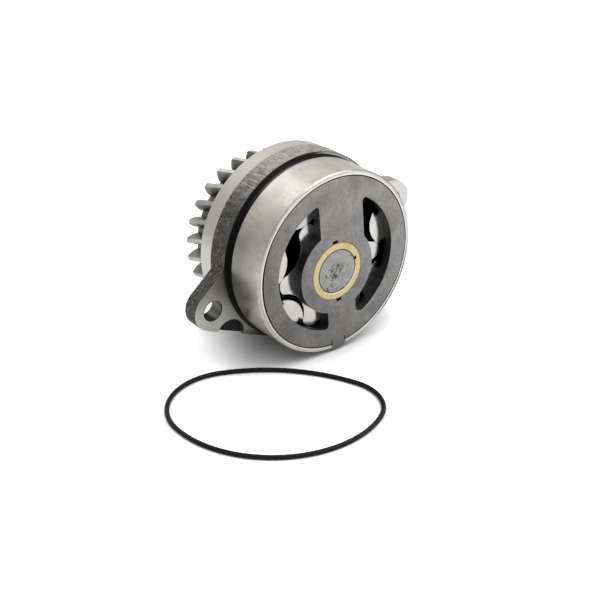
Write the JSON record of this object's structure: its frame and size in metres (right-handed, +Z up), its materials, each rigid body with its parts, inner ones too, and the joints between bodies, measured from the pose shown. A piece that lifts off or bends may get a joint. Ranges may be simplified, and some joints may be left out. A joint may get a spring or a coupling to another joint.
{
  "type": "gear driven engine oil pump",
  "caption": "Barrel-shaped gerotor oil pump with an eared mounting flange, a ported cover plate, a helical drive gear behind it, and a loose O-ring lying beside it.",
  "frame": {"origin": "centre of the barrel's front face, which is the face of the port plate, on the barrel's axis", "axes": "-Y along the barrel's axis out of the port plate, which is the way the pump goes into the engine block; +Z up as the pump lies on its flange and low ear; +X to the right as seen from the port plate"},
  "size_m": [0.1459, 0.1295, 0.083],
  "materials": {
    "cast_body": "turned bright on its barrel and rear ring, rough as cast between them",
    "ground_plate": "ground flat, dull",
    "bronze": "turned",
    "ground_steel": "ground, with handling marks",
    "sintered_steel": "satin sintered steel, lapped end faces",
    "gear_steel": "hobbed teeth, oiled grey",
    "dark_fasteners": "phosphated dark grey",
    "black_rubber": "matte black"
  },
  "bodies": {
    "housing": {"pump_body": "cast_body", "cover_plate": "ground_plate", "plate_bush": "bronze", "front_body_bush": "bronze", "rear_body_bush": "bronze", "thrust_washer": "bronze", "o_ring": "black_rubber"},
    "rotating_shaft": {"drive_shaft": "ground_steel", "rotor_key": "ground_steel", "inner_rotor": "sintered_steel", "drive_gear": "gear_steel", "gear_key": "ground_steel", "spring_washer": "dark_fasteners", "gear_nut": "dark_fasteners"},
    "outer_ring": {"outer_rotor": "sintered_steel"}
  },
  "joints": [
    {"name": "shaft_turn", "type": "hinge", "parent": "housing", "child": "rotating_shaft", "pos_m": [0.00033, 0, -0.00374], "axis": [0, 1, 0], "continuous": true},
    {"name": "outer_rotor_turn", "type": "hinge", "parent": "housing", "child": "outer_ring", "pos_m": [0, 0.0111, 0], "axis": [0, 1, 0], "continuous": true}
  ],
  "couplings": [
    {"joint": "outer_rotor_turn", "follows": "shaft_turn", "ratio": 0.85714}
  ]
}
